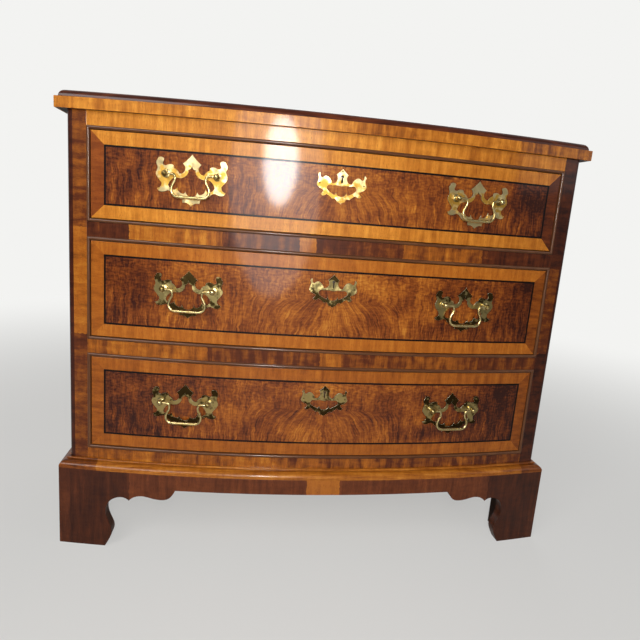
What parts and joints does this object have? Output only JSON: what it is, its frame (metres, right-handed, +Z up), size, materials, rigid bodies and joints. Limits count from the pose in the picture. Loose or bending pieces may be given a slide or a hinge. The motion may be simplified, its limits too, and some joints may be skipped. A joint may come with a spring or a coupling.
{
  "type": "bow front chest of drawers",
  "caption": "Bow-fronted veneered chest on bracket feet with long sliding drawers, swinging brass bail handles, pierced escutcheons and sliding lock bolts.",
  "frame": {"origin": "on the floor, at the middle of the chest's overall width and depth", "axes": "+X to the right seen from the front, +Y from the bowed front to the back, +Z up; the drawers open along -Y"},
  "size_m": [0.901, 0.508, 0.762],
  "materials": {
    "top_veneer": "french polished figured walnut",
    "crossband_veneer": "french polished golden walnut crossbanding",
    "case_veneer": "french polished red-brown veneer",
    "drawer_veneer": "french polished feathered walnut",
    "stringing": "polished ebonised line",
    "bead_mahogany": "polished dark mahogany",
    "moulding_wood": "polished golden brown",
    "bracket_mahogany": "polished dark red-brown",
    "drawer_lining": "waxed bare wood",
    "secondary_pine": "bare planed wood",
    "brass": "polished, worn to a dark patina in the hollows",
    "lock_steel": "dull filed steel"
  },
  "bodies": {
    "carcase": {"back_panel": "secondary_pine", "base_moulding": "moulding_wood", "bottom_board": "secondary_pine", "bottom_rail": "case_veneer", "cock_beads": "bead_mahogany", "drawer_guides": "secondary_pine", "drawer_runners": "secondary_pine", "drawer_stops": "secondary_pine", "dustboards": "secondary_pine", "foot_blocks": "secondary_pine", "front_apron": "bracket_mahogany", "front_stiles": "case_veneer", "lower_rail": "case_veneer", "rear_brackets": "secondary_pine", "side_brackets": "bracket_mahogany", "side_left": "case_veneer", "side_right": "case_veneer", "top_board": "top_veneer", "top_edge_band": "crossband_veneer", "top_rail": "case_veneer", "upper_rail": "case_veneer"},
    "drawer_1": {"drawer_1_front": "drawer_veneer", "drawer_1_crossbanding": "crossband_veneer", "drawer_1_stringing": "stringing", "drawer_1_sides": "drawer_lining", "drawer_1_back": "drawer_lining", "drawer_1_bottom": "drawer_lining", "drawer_1_lock": "lock_steel", "drawer_1_escutcheon": "brass", "drawer_1_handle_plates": "brass", "drawer_1_handle_posts": "brass"},
    "bail_1_left": {"drawer_1_bail_left": "brass"},
    "bail_1_right": {"drawer_1_bail_right": "brass"},
    "bolt_1": {"drawer_1_bolt": "lock_steel"},
    "drawer_2": {"drawer_2_front": "drawer_veneer", "drawer_2_crossbanding": "crossband_veneer", "drawer_2_stringing": "stringing", "drawer_2_sides": "drawer_lining", "drawer_2_back": "drawer_lining", "drawer_2_bottom": "drawer_lining", "drawer_2_lock": "lock_steel", "drawer_2_escutcheon": "brass", "drawer_2_handle_plates": "brass", "drawer_2_handle_posts": "brass"},
    "bail_2_left": {"drawer_2_bail_left": "brass"},
    "bail_2_right": {"drawer_2_bail_right": "brass"},
    "bolt_2": {"drawer_2_bolt": "lock_steel"},
    "drawer_3": {"drawer_3_front": "drawer_veneer", "drawer_3_crossbanding": "crossband_veneer", "drawer_3_stringing": "stringing", "drawer_3_sides": "drawer_lining", "drawer_3_back": "drawer_lining", "drawer_3_bottom": "drawer_lining", "drawer_3_lock": "lock_steel", "drawer_3_escutcheon": "brass", "drawer_3_handle_plates": "brass", "drawer_3_handle_posts": "brass"},
    "bail_3_left": {"drawer_3_bail_left": "brass"},
    "bail_3_right": {"drawer_3_bail_right": "brass"},
    "bolt_3": {"drawer_3_bolt": "lock_steel"}
  },
  "joints": [
    {"name": "drawer_3_slide", "type": "slide", "parent": "carcase", "child": "drawer_3", "axis": [0, -1, 0], "range_m": [0, 0.32]},
    {"name": "bail_3_left_swing", "type": "hinge", "parent": "drawer_3", "child": "bail_3_left", "pos_m": [-0.23914, -0.23806, 0.272], "axis": [-0.9951, 0.0992, 0], "range_deg": [-12, 100]},
    {"name": "bail_3_right_swing", "type": "hinge", "parent": "drawer_3", "child": "bail_3_right", "pos_m": [0.23914, -0.23806, 0.272], "axis": [-0.9951, -0.0992, 0], "range_deg": [-12, 100]},
    {"name": "bolt_3_throw", "type": "slide", "parent": "drawer_3", "child": "bolt_3", "axis": [0, 0, 1], "range_m": [0, 0.011]},
    {"name": "drawer_2_slide", "type": "slide", "parent": "carcase", "child": "drawer_2", "axis": [0, -1, 0], "range_m": [0, 0.32]},
    {"name": "bail_2_left_swing", "type": "hinge", "parent": "drawer_2", "child": "bail_2_left", "pos_m": [-0.23914, -0.23806, 0.4655], "axis": [-0.9951, 0.0992, 0], "range_deg": [-12, 100]},
    {"name": "bail_2_right_swing", "type": "hinge", "parent": "drawer_2", "child": "bail_2_right", "pos_m": [0.23914, -0.23806, 0.4655], "axis": [-0.9951, -0.0992, 0], "range_deg": [-12, 100]},
    {"name": "bolt_2_throw", "type": "slide", "parent": "drawer_2", "child": "bolt_2", "axis": [0, 0, 1], "range_m": [0, 0.011]},
    {"name": "drawer_1_slide", "type": "slide", "parent": "carcase", "child": "drawer_1", "axis": [0, -1, 0], "range_m": [0, 0.32]},
    {"name": "bail_1_left_swing", "type": "hinge", "parent": "drawer_1", "child": "bail_1_left", "pos_m": [-0.23914, -0.23806, 0.64775], "axis": [-0.9951, 0.0992, 0], "range_deg": [-12, 100]},
    {"name": "bail_1_right_swing", "type": "hinge", "parent": "drawer_1", "child": "bail_1_right", "pos_m": [0.23914, -0.23806, 0.64775], "axis": [-0.9951, -0.0992, 0], "range_deg": [-12, 100]},
    {"name": "bolt_1_throw", "type": "slide", "parent": "drawer_1", "child": "bolt_1", "axis": [0, 0, 1], "range_m": [0, 0.011]}
  ]
}
